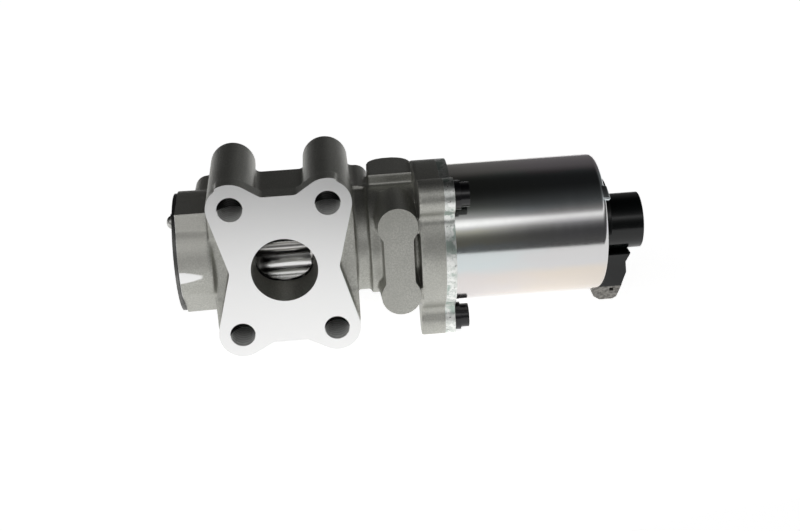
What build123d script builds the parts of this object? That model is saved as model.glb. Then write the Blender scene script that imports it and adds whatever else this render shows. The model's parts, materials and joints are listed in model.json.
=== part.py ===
"""EGR valve: a stepper-motor actuator that slides a balanced double-poppet valve in a cast body.

Frame: the origin is the centre of the gas inlet on the machined front face of the X-shaped flange.
+X runs along the valve and motor axis towards the motor, +Y goes into the body, away from that face,
and +Z is up. All lengths are in millimetres.
"""

import os
from math import asin, atan2, cos, radians, sin

from build123d import *

# ---------------------------------------------------------------- driving dimensions

AXIS_Y = 25.5           # depth of the valve and motor axis behind the machined front face
REAR_Y = 51.0           # rear mounting face, as far behind the axis as the front face is before it

# Front flange, its bolts and the gas inlet
BOLT_X, BOLT_Z = 17.3, 24.4     # the four bolt holes stand at plus and minus these
BOLT_HOLE_R = 4.5               # clearance for an M8 bolt
LOBE_R, TOP_LOBE_R = 8.8, 8.6   # lower and upper lobes of the front flange
CROWN_R = 9.4                   # the upper lobes step out to a fuller crown
RIGHT_CROWN_ANGLE, LEFT_CROWN_ANGLE = 68.0, 60.0    # where the crowns begin, from the outer side
LUG_FRONT_R, LUG_REAR_R = 8.75, 8.6
LUG_FRONT_Y, LUG_TRIM = 4.0, 1.0  # the lugs are cast longer, and cut flush with the rear face
# The lugs lean a little, so that their rear ends stand further out than the bolt holes
LUG_REAR_X, LUG_REAR_Z = (-18.1, 17.4), 24.9
WAIST_X = 19.8                  # half width of the flange at the height of the inlet
NOTCH_X, NOTCH_Z = 6.2, 28.3    # flat stretch of the flange's upper and lower edge
FLANGE_T = 8.0
WAIST_FILLET, NOTCH_FILLET = 3.0, 1.0
LUG_ROOT_R, LUG_ROOT_FILLET = 8.1, 2.3
INLET_R, INLET_LAND = 12.1, 5.0
WINDOW_R, WINDOW_Y = 10.0, 13.5  # where the tapered inlet opens into the valve chamber

# Body, along X
DRUM_LEFT_X, DRUM_RIGHT_X = -38.0, -26.0
DRUM_LEFT_R, DRUM_RIGHT_R = 22.8, 22.62
DRUM_STEP, DRUM_ROOT_FILLET = 1.6, 2.5
CAST_EDGE = 0.6
# Flats along the drum, as (angle of the normal from -Y towards +Z, distance from the axis)
DRUM_FACETS = ((69.0, 22.0), (48.0, 22.53), (-43.0, 21.3), (-3.5, 22.69))
BARREL_R = 19.3
NECK_X, NECK_R = 31.5, 20.8
BLOCK_X, BLOCK_Z = 33.5, 20.95  # half sizes of the outlet block behind the axis
BLOCK_CORNER_R = 5.0
BLOCK_FRONT_Y = 26.0
WEB_X, WEB_INNER_X = 26.3, 12.0  # outer and inner side of the webs that tie the lugs to the barrel
WEB_INNER_Z = 12.0
WEB_FRONT_Y, WEB_REAR_Y = 5.0, 30.0

# Pad and stub boss on the neck
PAD_X, PAD_Z, PAD_R = 41.6, 13.4, 7.2
PAD_WAIST = 10.6
PAD_FACE_Y = -1.0
PAD_DRAFT, PAD_REAR_GAP = 3.0, 5.5
PAD_SHOULDER_FILLET = 1.5
# Lands that join the pad's lobes to the actuator flange, above and below a slot with bevelled ends.
# Each is given by the z of the slot's straight side, of the slot's end and of the land's far edge.
UPPER_LAND_Z, LOWER_LAND_Z = (7.2, 10.0, 14.0), (-7.4, -12.8, -17.5)
SLOT_END_X = 48.6
LAND_FRONT_Y, LAND_REAR_Y = 0.4, 15.0
STUB_LEFT_X, STUB_REAR_Y, STUB_TOP_Z, STUB_CORNER_R = 32.8, 45.3, 25.0, 7.0
STUB_FOOT_Z = 8.0

# Actuator flange, adapter plate and their three screws
MOTOR_FLANGE_X, MOTOR_FACE_X = 49.5, 58.5
PLATE_T = 3.7
DISC_R = 28.0
SCREW_PCR = 32.5                # radius of the screws' circle
SCREW_ANGLES = (15.0, 135.0, 255.0)     # from +Y towards +Z
EAR_R, EAR_BLEND_R = 6.4, 4.0
SCREW_R, SCREW_HEAD_R, SCREW_COLLAR_R = 3.0, 4.5, 5.3
SCREW_COLLAR_T, SCREW_HEAD_T = 2.3, 3.2
SCREW_TIP_X, TAPPED_DEPTH, TIP_GAP = 52.0, 7.0, 0.3
PLATE_SCREW_GAP = 0.3
GROOVE_DEPTH, GROOVE_IN_R, GROOVE_OUT_R = 1.7, 17.4, 19.6
O_RING_R = 0.85
HEX_FLATS = 5.0

# Valve chamber, seats, stem and poppets
CHAMBER_R = 14.0
LEFT_CHAMBER_R, RIGHT_CHAMBER_R = 15.5, 12.5
LEFT_SEAT_X, RIGHT_SEAT_X, SEAT_T = -16.0, 12.5, 4.0
LEFT_SEAT_R, RIGHT_SEAT_R = 15.0, 13.5
LEFT_THROAT_R, RIGHT_THROAT_R = 11.6, 10.2
SEAT_CONE = 0.8                 # width of the 45-degree seating cone
SEAT_GAP = 0.05                 # clearance between poppet and seat, along the axis
POPPET_RIM = 1.1                # width of the poppet's own cone
NUT_FLATS, NUT_T = 10.0, 4.0
OUTLET_X, OUTLET_W, OUTLET_H = 23.0, 12.0, 24.0
STEM_R, STEM_NECK_R, STEM_CHAMFER = 4.0, 3.0, 0.5
STEM_LEFT_X, STEM_RIGHT_X = -24.0, 62.0
POPPET_T = 3.0
STROKE = 5.0                    # travel of the stem towards -X
RUNNING = 0.03                  # radial running clearance

# Guide, seal and return spring
BUSH_R, BUSH_LEFT_X, BUSH_RIGHT_X = 6.0, 29.0, 43.0
SCRAPER_R, SCRAPER_T = 8.0, 1.6
SPRING_CHAMBER_R = 14.5
SEAL_R, SEAL_T = 8.0, 3.0
SEAL_LIP = 0.7
RETAINER_WALL = 0.9
SPRING_R, SPRING_WIRE_R, SPRING_TURNS = 11.2, 0.9, 4.0
MOVING_SEAT_X, MOVING_SEAT_R, MOVING_SEAT_T = 59.4, 13.0, 1.2
SPRING_PILOT_R, PILOT_T, PILOT_TAPER = 10.0, 1.5, 0.4
CLIP_T, CLIP_R, CLIP_GROOVE_R, CLIP_GAP = 0.7, 6.0, 3.4, 4.0
CLIP_X = MOVING_SEAT_X + MOVING_SEAT_T

# Motor
CAN_R, CAN_WALL = 25.75, 1.2
CAN_END_X, CAN_CORNER_R = 118.5, 1.8
CAN_WINDOW_R = 16.6
INNER_R = 24.4                  # what slides into the can
PLATE_HOLE_R = 14.0
FRONT_HOUSING_T, FRONT_HUB_R, FRONT_HUB_X = 3.8, 13.0, 75.0
BEARING_OUT_R, BEARING_IN_R, BEARING_T = 10.0, 5.0, 5.0
BEARING_PITCH_R, BALL_R, BALLS = 7.5, 1.45, 7
RING_GAP = 0.8                  # between the balls' circle and either ring
WASHER_T = 0.8
FRONT_BEARING_X, REAR_BEARING_X = 70.0, 104.0
HUB_R, HUB_SHOULDER_R, MAGNET_R = 9.5, 6.2, 13.5
HUB_BORE_GAP = 2.0
MAGNET_LEFT_X, MAGNET_RIGHT_X = 76.0, 102.0
SCREW_THREAD_R = 3.0            # lead screw
LEAD_SCREW_END_X = 98.0
FLATS = 4.6                     # across the two flats of the lead screw's front end
STATOR_X = (75.6, 89.3)
STATOR_LENGTH = 13.2
STATOR_WALL = 1.2
POLE_R = 14.1
POLE_T = 1.2
POLES, POLE_W = 12, 4.6
BOBBIN_R, BOBBIN_WALL, COIL_R = 15.8, 1.0, 22.6
REAR_HOUSING_X = 104.0
HOUSING_GROOVE_X, HOUSING_GROOVE_W, HOUSING_GROOVE_R = 110.6, 1.9, 22.8
BOARD_X, BOARD_T, BOARD_R = 112.8, 1.2, 15.8

# Connector
CAP_FLANGE_R, CAP_FACE_X = 16.4, 121.5
SHROUD_R, SHROUD_WALL, SHROUD_END_X, SHROUD_Z = 10.6, 1.5, 135.0, -0.6
SOCKET_FLOOR_X = 124.0
PIN_R, PIN_CIRCLE_R, PIN_TIP_X, PINS = 0.75, 4.6, 129.5, 6
PIN_CHAMFER = 0.3
KEY_ANGLES, KEY_HEIGHT, KEY_WIDTH = (90, 200, 340), 0.8, 1.6
WING_HALF_W, WING_LIP, WING_GAP = 8.5, 4.5, 0.1
LATCH_HOLE, LATCH_HOLE_X, LATCH_HOLE_Z, LATCH_HOLE_DEPTH = 1.6, 123.8, -26.2, 4.5
WING_FOOT_Z = -31.5
# Side outline of the lower wing, as (x, z)
WING_OUTLINE = (
    (116.0, -20.0),
    (119.0, -6.0),
    (131.5, -9.0),
    (129.0, -14.7),
    (129.3, -19.0),
    (127.7, -23.6),
    (126.3, -30.4),
    (124.9, WING_FOOT_Z),
    (119.8, WING_FOOT_Z),
    (117.3, -29.6),
    (116.0, -26.6),
)
# What is cut from the wing's flanks to narrow it downwards, as (distance from the axis, z)
WING_FLANK = (
    (WING_HALF_W, -10.5),
    (7.5, -14.7),
    (7.5, -24.4),
    (3.9, WING_FOOT_Z),
    (WING_HALF_W, WING_FOOT_Z),
)

# Left end cover
GASKET_T, COVER_T, COVER_R = 0.5, 1.0, 22.0
COVER_SCREW_PCR, COVER_SCREW_ANGLE = 18.5, 122.0    # from +Y towards +Z
COVER_SCREW_R, COVER_HEAD_R, COVER_HEAD_T = 1.5, 2.6, 2.2
COVER_SCREW_DEPTH = 8.0
COVER_BEAD_R, COVER_BEAD_T, COVER_BEAD_TAPER = 13.5, 0.6, 40.0

# ---------------------------------------------------------------- frames and helpers

MOTOR_AXIS = Axis((0, AXIS_Y, 0), (1, 0, 0))
TURNING_PLANE = Plane(origin=(0, AXIS_Y, 0), x_dir=(1, 0, 0), z_dir=(0, -1, 0))


def across(x, height=0.0):
    """Plane square to the motor axis at x: its own x is +Y and its own y is +Z."""
    return Plane(origin=(x, AXIS_Y, height), x_dir=(0, 1, 0), z_dir=(1, 0, 0))


def facing(y):
    """Plane parallel to the front face at depth y: its own x is +X, its own y is +Z, normal to -Y."""
    return Plane(origin=(0, y, 0), x_dir=(1, 0, 0), z_dir=(0, -1, 0))


def inward(y):
    """The same plane looking into the body: its own x is +X, its own y is -Z, normal to +Y."""
    return Plane(origin=(0, y, 0), x_dir=(1, 0, 0), z_dir=(0, 1, 0))


def turn(*points, mode=Mode.ADD):
    """Turn the half section through (x, radius) points about the motor axis."""
    with BuildSketch(TURNING_PLANE) as section:
        with BuildLine():
            Polyline(*points, close=True)
        make_face()
    revolve(section.sketch, axis=MOTOR_AXIS, mode=mode)


def ring(left, right, inner, outer, mode=Mode.ADD):
    """Plain ring on the motor axis between two X positions."""
    turn((left, inner), (right, inner), (right, outer), (left, outer), mode=mode)


def disc(left, right, radius, mode=Mode.ADD):
    """Plain disc on the motor axis between two X positions."""
    turn((left, 0), (right, 0), (right, radius), (left, radius), mode=mode)


def polar_spots(radius, angles):
    """Points on a circle about the motor axis, for a plane square to it."""
    return [(radius * cos(radians(a)), radius * sin(radians(a))) for a in angles]


def save(piece, label):
    piece.part.label = label
    export_step(piece.part, f"parts/{label}.step")


os.makedirs("parts", exist_ok=True)

SCREW_SPOTS = polar_spots(SCREW_PCR, SCREW_ANGLES)
COVER_SPOTS = polar_spots(COVER_SCREW_PCR, (COVER_SCREW_ANGLE, COVER_SCREW_ANGLE + 180))
BOLT_SPOTS = [(sx * BOLT_X, sz * BOLT_Z) for sx in (-1, 1) for sz in (-1, 1)]
LUG_REAR_SPOTS = [(x, sz * LUG_REAR_Z) for x in LUG_REAR_X for sz in (-1, 1)]
PLATE_FACE_X = MOTOR_FACE_X + PLATE_T

# ---------------------------------------------------------------- shared outlines

with BuildSketch() as eared_outline:
    Circle(DISC_R)
    with Locations(*SCREW_SPOTS):
        Circle(EAR_R)
    blends = eared_outline.vertices().filter_by(
        lambda v: abs(Vector(v.X, v.Y).length - DISC_R) < 0.01 and abs(v.Y) > 0.1
    )
    fillet(blends, EAR_BLEND_R)


def tangent_point(start, centre, radius, side):
    """Where the line from start touches a circle, on its left (+1) or right (-1) as seen from start."""
    reach = Vector(*centre) - Vector(*start)
    run = (reach.length**2 - radius**2) ** 0.5
    heading = atan2(reach.Y, reach.X) + side * asin(radius / reach.length)
    return (start[0] + run * cos(heading), start[1] + run * sin(heading))


def on_lobe(radius, angle):
    """Point on a circle round the upper right bolt hole, at an angle in degrees from +X."""
    return (BOLT_X + radius * cos(radians(angle)), BOLT_Z + radius * sin(radians(angle)))


def bulge(start, end, radius):
    """Start, far point and end of an arc round the upper right bolt hole."""
    centre = Vector(BOLT_X, BOLT_Z)
    middle = (Vector(*start) + Vector(*end)) / 2 - centre
    far = centre + middle.normalized() * radius
    return start, (far.X, far.Y), end


def flipped(points, sign_x, sign_z):
    """The same points on the lobe of another quarter."""
    return [(sign_x * x, sign_z * z) for x, z in points]


CENTRE = (BOLT_X, BOLT_Z)
WAIST, NOTCH = (WAIST_X, 0), (NOTCH_X, NOTCH_Z)
low_waist, low_notch = tangent_point(WAIST, CENTRE, LOBE_R, -1), tangent_point(NOTCH, CENTRE, LOBE_R, 1)
top_waist, top_notch = tangent_point(WAIST, CENTRE, TOP_LOBE_R, -1), tangent_point(NOTCH, CENTRE, CROWN_R, 1)

with BuildSketch() as flange_outline:
    with BuildLine():
        for side, crown_angle in ((1, RIGHT_CROWN_ANGLE), (-1, LEFT_CROWN_ANGLE)):
            step_in, step_out = on_lobe(TOP_LOBE_R, crown_angle), on_lobe(CROWN_R, crown_angle)
            Line(*flipped((WAIST, top_waist), side, 1))
            ThreePointArc(*flipped(bulge(top_waist, step_in, TOP_LOBE_R), side, 1))
            Line(*flipped((step_in, step_out), side, 1))
            ThreePointArc(*flipped(bulge(step_out, top_notch, CROWN_R), side, 1))
            Line(*flipped((top_notch, NOTCH), side, 1))
            Line(*flipped((WAIST, low_waist), side, -1))
            ThreePointArc(*flipped(bulge(low_waist, low_notch, LOBE_R), side, -1))
            Line(*flipped((low_notch, NOTCH), side, -1))
        for z in (NOTCH_Z, -NOTCH_Z):
            Line((-NOTCH_X, z), (NOTCH_X, z))
    make_face()
    waists = flange_outline.vertices().filter_by(lambda v: abs(v.Y) < 0.01)
    fillet(waists, WAIST_FILLET)
    notches = flange_outline.vertices().filter_by(lambda v: abs(abs(v.X) - NOTCH_X) < 0.01)
    fillet(notches, NOTCH_FILLET)

with BuildSketch() as block_outline:
    RectangleRounded(2 * BLOCK_X, 2 * BLOCK_Z, BLOCK_CORNER_R)
    with Locations(*LUG_REAR_SPOTS):
        Circle(LUG_ROOT_R)
    roots = block_outline.vertices().filter_by(
        lambda v: abs(abs(v.Y) - BLOCK_Z) < 0.01 and abs(v.X) < BOLT_X + LUG_ROOT_R
    )
    fillet(roots, LUG_ROOT_FILLET)

with BuildSketch() as dumbbell_outline:
    with Locations((PAD_X, PAD_Z), (PAD_X, -PAD_Z)):
        Circle(PAD_R)
    with Locations((PAD_X, 0)):
        Rectangle(PAD_WAIST, 2 * PAD_Z)
    shoulders = dumbbell_outline.vertices().filter_by(
        lambda v: abs(abs(v.X - PAD_X) - PAD_WAIST / 2) < 0.01
    )
    fillet(shoulders, PAD_SHOULDER_FILLET)

# ---------------------------------------------------------------- cast valve body

with BuildPart() as valve_body:
    # Drum, barrel, neck and actuator flange: everything that is round about the motor axis
    turn(
        (DRUM_LEFT_X, 0),
        (DRUM_LEFT_X, DRUM_LEFT_R),
        (DRUM_RIGHT_X, DRUM_RIGHT_R),
        (DRUM_RIGHT_X + DRUM_STEP, BARREL_R),
        (NECK_X, BARREL_R),
        (NECK_X, NECK_R),
        (MOTOR_FLANGE_X, NECK_R),
        (MOTOR_FLANGE_X, 0),
    )
    rims = valve_body.edges().filter_by(GeomType.CIRCLE)
    fillet(rims.filter_by(lambda e: abs(e.radius - BARREL_R) < 0.01 and e.center().X < 0), DRUM_ROOT_FILLET)
    rims = valve_body.edges().filter_by(GeomType.CIRCLE)
    fillet(rims.filter_by(lambda e: abs(e.radius - DRUM_RIGHT_R) < 0.01), CAST_EDGE)
    rims = valve_body.edges().filter_by(GeomType.CIRCLE)
    fillet(rims.filter_by(lambda e: abs(e.radius - BARREL_R) < 0.01 and e.center().X > 0), CAST_EDGE)

    # Facets along the drum: parting flats, the lower flat and the small milled one at the front
    for angle, distance in DRUM_FACETS:
        tilt = radians(angle)
        outward = (0, -cos(tilt), sin(tilt))
        seat = Vector(DRUM_LEFT_X, AXIS_Y, 0) + Vector(*outward) * distance
        with BuildSketch(Plane(origin=seat, x_dir=(1, 0, 0), z_dir=outward)):
            with Locations(((DRUM_RIGHT_X - DRUM_LEFT_X) / 2, 0)):
                Rectangle(DRUM_RIGHT_X - DRUM_LEFT_X, 2 * DRUM_LEFT_R)
        extrude(amount=DRUM_LEFT_R - distance + 1, mode=Mode.SUBTRACT)

    # Actuator flange
    with BuildSketch(across(MOTOR_FLANGE_X)):
        add(eared_outline.sketch)
    extrude(amount=MOTOR_FACE_X - MOTOR_FLANGE_X)

    # Front flange, and the outlet block behind the axis
    with BuildSketch(facing(0)):
        add(flange_outline.sketch)
    extrude(amount=-FLANGE_T)
    with BuildSketch(facing(REAR_Y)):
        add(block_outline.sketch)
    extrude(amount=REAR_Y - BLOCK_FRONT_Y)

    # Bolt lugs from face to face, tied to the barrel by webs
    for (front_x, front_z), (rear_x, rear_z) in zip(BOLT_SPOTS, LUG_REAR_SPOTS):
        reach = Vector(rear_x - front_x, REAR_Y + LUG_TRIM - LUG_FRONT_Y, rear_z - front_z)
        with Locations(Plane(origin=(front_x, LUG_FRONT_Y, front_z), z_dir=reach)):
            Cone(LUG_FRONT_R, LUG_REAR_R, reach.length, align=(Align.CENTER, Align.CENTER, Align.MIN))
    with BuildSketch(inward(REAR_Y)):
        Rectangle(2 * BLOCK_X, 2 * (LUG_REAR_Z + LUG_FRONT_R))
    extrude(amount=2 * LUG_TRIM, mode=Mode.SUBTRACT)
    with BuildSketch(facing(WEB_FRONT_Y)):
        with GridLocations(WEB_X + WEB_INNER_X, BOLT_Z + WEB_INNER_Z, 2, 2):
            Rectangle(WEB_X - WEB_INNER_X, BOLT_Z - WEB_INNER_Z)
    extrude(amount=WEB_FRONT_Y - WEB_REAR_Y)

    # Dumbbell pad on the front of the neck and stub boss on its top
    with BuildSketch(inward(PAD_FACE_Y)):
        add(dumbbell_outline.sketch)
    extrude(amount=AXIS_Y - PAD_FACE_Y - PAD_REAR_GAP, taper=-PAD_DRAFT)
    for straight_z, end_z, far_z in (UPPER_LAND_Z, LOWER_LAND_Z):
        with BuildSketch(facing(LAND_FRONT_Y)):
            with BuildLine():
                Polyline(
                    (PAD_X, straight_z),
                    (PAD_X + PAD_WAIST / 2, straight_z),
                    (SLOT_END_X, end_z),
                    (MOTOR_FLANGE_X, end_z),
                    (MOTOR_FLANGE_X, far_z),
                    (PAD_X, far_z),
                    close=True,
                )
            make_face()
        extrude(amount=LAND_FRONT_Y - LAND_REAR_Y)
    with BuildSketch(Plane.XY.offset(STUB_FOOT_Z)):
        with BuildLine():
            Polyline(
                (MOTOR_FLANGE_X, AXIS_Y),
                (STUB_LEFT_X, AXIS_Y),
                (STUB_LEFT_X, STUB_REAR_Y),
                (MOTOR_FLANGE_X, STUB_REAR_Y),
                close=True,
            )
        stub = make_face()
        fillet(stub.vertices().filter_by(lambda v: abs(v.Y - STUB_REAR_Y) < 0.01), STUB_CORNER_R)
    extrude(amount=STUB_TOP_Z - STUB_FOOT_Z)

    # Valve chamber, its two seat pockets, and the bores along the axis
    disc(DRUM_LEFT_X, LEFT_SEAT_X, LEFT_CHAMBER_R, mode=Mode.SUBTRACT)
    disc(LEFT_SEAT_X, LEFT_SEAT_X + SEAT_T, LEFT_SEAT_R, mode=Mode.SUBTRACT)
    disc(LEFT_SEAT_X + SEAT_T, RIGHT_SEAT_X, CHAMBER_R, mode=Mode.SUBTRACT)
    disc(RIGHT_SEAT_X, RIGHT_SEAT_X + SEAT_T, RIGHT_SEAT_R, mode=Mode.SUBTRACT)
    disc(RIGHT_SEAT_X + SEAT_T, BUSH_LEFT_X, RIGHT_CHAMBER_R, mode=Mode.SUBTRACT)
    disc(BUSH_LEFT_X, BUSH_LEFT_X + SCRAPER_T, SCRAPER_R, mode=Mode.SUBTRACT)
    disc(BUSH_LEFT_X + SCRAPER_T, BUSH_RIGHT_X, BUSH_R, mode=Mode.SUBTRACT)
    disc(BUSH_RIGHT_X, MOTOR_FACE_X, SPRING_CHAMBER_R, mode=Mode.SUBTRACT)
    ring(MOTOR_FACE_X - GROOVE_DEPTH, MOTOR_FACE_X, GROOVE_IN_R, GROOVE_OUT_R, mode=Mode.SUBTRACT)

    # Gas inlet: a machined land, then the cast taper into the chamber
    with BuildSketch(Plane.XY):
        with BuildLine():
            Polyline(
                (0, 0),
                (INLET_R, 0),
                (INLET_R, INLET_LAND),
                (WINDOW_R, WINDOW_Y),
                (WINDOW_R, AXIS_Y - STEM_R),
                (0, AXIS_Y - STEM_R),
                close=True,
            )
        make_face()
    revolve(axis=Axis.Y, mode=Mode.SUBTRACT)

    # Two gas outlets in the rear face, one behind each outer chamber
    with BuildSketch(facing(REAR_Y)):
        with Locations((-OUTLET_X, 0), (OUTLET_X, 0)):
            SlotOverall(OUTLET_H, OUTLET_W, rotation=90)
    extrude(amount=REAR_Y - AXIS_Y, mode=Mode.SUBTRACT)

    # Bolt holes from face to face, tapped holes for the adapter and the end cover
    with BuildSketch(facing(0)):
        with Locations(*BOLT_SPOTS):
            Circle(BOLT_HOLE_R)
    extrude(amount=-REAR_Y, mode=Mode.SUBTRACT)
    with BuildSketch(across(MOTOR_FACE_X)):
        with Locations(*SCREW_SPOTS):
            Circle(SCREW_R + RUNNING)
    extrude(amount=-TAPPED_DEPTH, mode=Mode.SUBTRACT)
    with BuildSketch(across(DRUM_LEFT_X)):
        with Locations(*COVER_SPOTS):
            Circle(COVER_SCREW_R + RUNNING)
    extrude(amount=COVER_SCREW_DEPTH, mode=Mode.SUBTRACT)
save(valve_body, "valve_body")

# ---------------------------------------------------------------- seats, stem and poppets

with BuildPart() as left_seat:
    turn(
        (LEFT_SEAT_X, LEFT_THROAT_R + SEAT_CONE),
        (LEFT_SEAT_X + SEAT_CONE, LEFT_THROAT_R),
        (LEFT_SEAT_X + SEAT_T, LEFT_THROAT_R),
        (LEFT_SEAT_X + SEAT_T, LEFT_SEAT_R),
        (LEFT_SEAT_X, LEFT_SEAT_R),
    )
save(left_seat, "left_seat")

with BuildPart() as right_seat:
    turn(
        (RIGHT_SEAT_X, RIGHT_THROAT_R + SEAT_CONE),
        (RIGHT_SEAT_X + SEAT_CONE, RIGHT_THROAT_R),
        (RIGHT_SEAT_X + SEAT_T, RIGHT_THROAT_R),
        (RIGHT_SEAT_X + SEAT_T, RIGHT_SEAT_R),
        (RIGHT_SEAT_X, RIGHT_SEAT_R),
    )
save(right_seat, "right_seat")


def poppet(seat_x, throat_r, bore_r):
    """Valve head whose 45-degree rim stops just short of the seat's cone."""
    nose_r = throat_r + SEAT_CONE / 4
    nose_x = seat_x + SEAT_CONE * 3 / 4 - SEAT_GAP
    rim_x = nose_x - POPPET_RIM
    turn(
        (seat_x - POPPET_T, bore_r),
        (nose_x, bore_r),
        (nose_x, nose_r),
        (rim_x, nose_r + POPPET_RIM),
        (seat_x - POPPET_T, nose_r + POPPET_RIM),
    )


with BuildPart() as left_poppet:
    poppet(LEFT_SEAT_X, LEFT_THROAT_R, STEM_NECK_R)
save(left_poppet, "left_poppet")

with BuildPart() as right_poppet:
    poppet(RIGHT_SEAT_X, RIGHT_THROAT_R, STEM_R)
save(right_poppet, "right_poppet")

SHOULDER_X = LEFT_SEAT_X + SEAT_CONE * 3 / 4 - SEAT_GAP

with BuildPart() as valve_stem:
    disc(STEM_LEFT_X, SHOULDER_X, STEM_NECK_R)
    disc(SHOULDER_X, STEM_RIGHT_X, STEM_R)
    ring(CLIP_X, CLIP_X + CLIP_T, CLIP_GROOVE_R, STEM_R, mode=Mode.SUBTRACT)
    chamfer(valve_stem.faces().sort_by(Axis.X)[0].edges(), STEM_CHAMFER)
save(valve_stem, "valve_stem")

with BuildPart() as poppet_nut:
    with BuildSketch(across(LEFT_SEAT_X - POPPET_T)):
        RegularPolygon(radius=NUT_FLATS / 2, side_count=6, major_radius=False)
        Circle(STEM_NECK_R, mode=Mode.SUBTRACT)
    extrude(amount=-NUT_T)
save(poppet_nut, "poppet_nut")

# ---------------------------------------------------------------- guide, seal and return spring

with BuildPart() as guide_bush:
    ring(BUSH_LEFT_X + SCRAPER_T, BUSH_RIGHT_X, STEM_R + RUNNING, BUSH_R)
save(guide_bush, "guide_bush")

with BuildPart() as deposit_scraper:
    ring(BUSH_LEFT_X, BUSH_LEFT_X + SCRAPER_T, STEM_R + RUNNING, SCRAPER_R)
save(deposit_scraper, "deposit_scraper")

with BuildPart() as stem_seal:
    turn(
        (BUSH_RIGHT_X, STEM_R + RUNNING),
        (BUSH_RIGHT_X + SEAL_T / 3, STEM_R + RUNNING),
        (BUSH_RIGHT_X + SEAL_T / 2, STEM_R + SEAL_LIP),
        (BUSH_RIGHT_X + SEAL_T, STEM_R + SEAL_LIP),
        (BUSH_RIGHT_X + SEAL_T, SEAL_R),
        (BUSH_RIGHT_X, SEAL_R),
    )
save(stem_seal, "stem_seal")

with BuildPart() as seal_retainer:
    turn(
        (BUSH_RIGHT_X, SEAL_R),
        (BUSH_RIGHT_X + SEAL_T, SEAL_R),
        (BUSH_RIGHT_X + SEAL_T, STEM_R + SEAL_LIP),
        (BUSH_RIGHT_X + SEAL_T + RETAINER_WALL, STEM_R + SEAL_LIP),
        (BUSH_RIGHT_X + SEAL_T + RETAINER_WALL, SEAL_R + RETAINER_WALL),
        (BUSH_RIGHT_X + RETAINER_WALL, SEAL_R + RETAINER_WALL),
        (BUSH_RIGHT_X + RETAINER_WALL, MOVING_SEAT_R),
        (BUSH_RIGHT_X, MOVING_SEAT_R),
    )
save(seal_retainer, "seal_retainer")

SPRING_START_X = BUSH_RIGHT_X + RETAINER_WALL + SPRING_WIRE_R
SPRING_HEIGHT = MOVING_SEAT_X - SPRING_WIRE_R - SPRING_START_X

with BuildPart() as return_spring:
    with BuildLine() as coil:
        Helix(
            pitch=SPRING_HEIGHT / SPRING_TURNS,
            height=SPRING_HEIGHT,
            radius=SPRING_R,
            center=(SPRING_START_X, AXIS_Y, 0),
            direction=(1, 0, 0),
        )
    with BuildSketch(coil.line ^ 0):
        Circle(SPRING_WIRE_R)
    sweep(is_frenet=True)
save(return_spring, "return_spring")

with BuildPart() as spring_retainer:
    turn(
        (MOVING_SEAT_X, STEM_R),
        (MOVING_SEAT_X + MOVING_SEAT_T, STEM_R),
        (MOVING_SEAT_X + MOVING_SEAT_T, MOVING_SEAT_R),
        (MOVING_SEAT_X, MOVING_SEAT_R),
        (MOVING_SEAT_X, SPRING_PILOT_R),
        (MOVING_SEAT_X - PILOT_T, SPRING_PILOT_R - PILOT_TAPER),
        (MOVING_SEAT_X - PILOT_T, STEM_R),
    )
save(spring_retainer, "spring_retainer")

with BuildPart() as retainer_clip:
    ring(CLIP_X, CLIP_X + CLIP_T, CLIP_GROOVE_R, CLIP_R)
    with BuildSketch(across(CLIP_X)):
        with Locations((CLIP_R, 0)):
            Rectangle(2 * CLIP_R, CLIP_GAP)
    extrude(amount=CLIP_T, mode=Mode.SUBTRACT)
save(retainer_clip, "retainer_clip")

# ---------------------------------------------------------------- left end cover

with BuildPart() as cover_gasket:
    with BuildSketch(across(DRUM_LEFT_X)):
        Circle(COVER_R)
        Circle(LEFT_CHAMBER_R, mode=Mode.SUBTRACT)
        with Locations(*COVER_SPOTS):
            Circle(COVER_SCREW_R + RUNNING, mode=Mode.SUBTRACT)
    extrude(amount=-GASKET_T)
save(cover_gasket, "cover_gasket")

COVER_X = DRUM_LEFT_X - GASKET_T - COVER_T

with BuildPart() as end_cover:
    with BuildSketch(across(COVER_X)):
        Circle(COVER_R)
        with Locations(*COVER_SPOTS):
            Circle(COVER_SCREW_R + RUNNING, mode=Mode.SUBTRACT)
    extrude(amount=COVER_T)
    with BuildSketch(across(COVER_X)):
        Circle(COVER_BEAD_R)
    extrude(amount=-COVER_BEAD_T, taper=COVER_BEAD_TAPER)
save(end_cover, "end_cover")

with BuildPart() as end_cover_screws:
    with BuildSketch(across(COVER_X)):
        with Locations(*COVER_SPOTS):
            Circle(COVER_HEAD_R)
    extrude(amount=-COVER_HEAD_T)
    fillet(end_cover_screws.faces().group_by(Axis.X)[0].edges(), COVER_HEAD_T / 2)
    with BuildSketch(across(COVER_X)):
        with Locations(*COVER_SPOTS):
            Circle(COVER_SCREW_R)
    extrude(amount=COVER_T + GASKET_T + COVER_SCREW_DEPTH - TIP_GAP)
save(end_cover_screws, "end_cover_screws")

# ---------------------------------------------------------------- adapter plate and its screws

with BuildPart() as flange_o_ring:
    with BuildSketch(TURNING_PLANE):
        with Locations((MOTOR_FACE_X - O_RING_R, (GROOVE_IN_R + GROOVE_OUT_R) / 2)):
            Circle(O_RING_R)
    revolve(axis=MOTOR_AXIS)
save(flange_o_ring, "flange_o_ring")

with BuildPart() as adapter_plate:
    with BuildSketch(across(MOTOR_FACE_X)):
        add(eared_outline.sketch)
        Circle(PLATE_HOLE_R, mode=Mode.SUBTRACT)
        with Locations(*SCREW_SPOTS):
            Circle(SCREW_R + PLATE_SCREW_GAP, mode=Mode.SUBTRACT)
    extrude(amount=PLATE_T)
save(adapter_plate, "adapter_plate")

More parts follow.
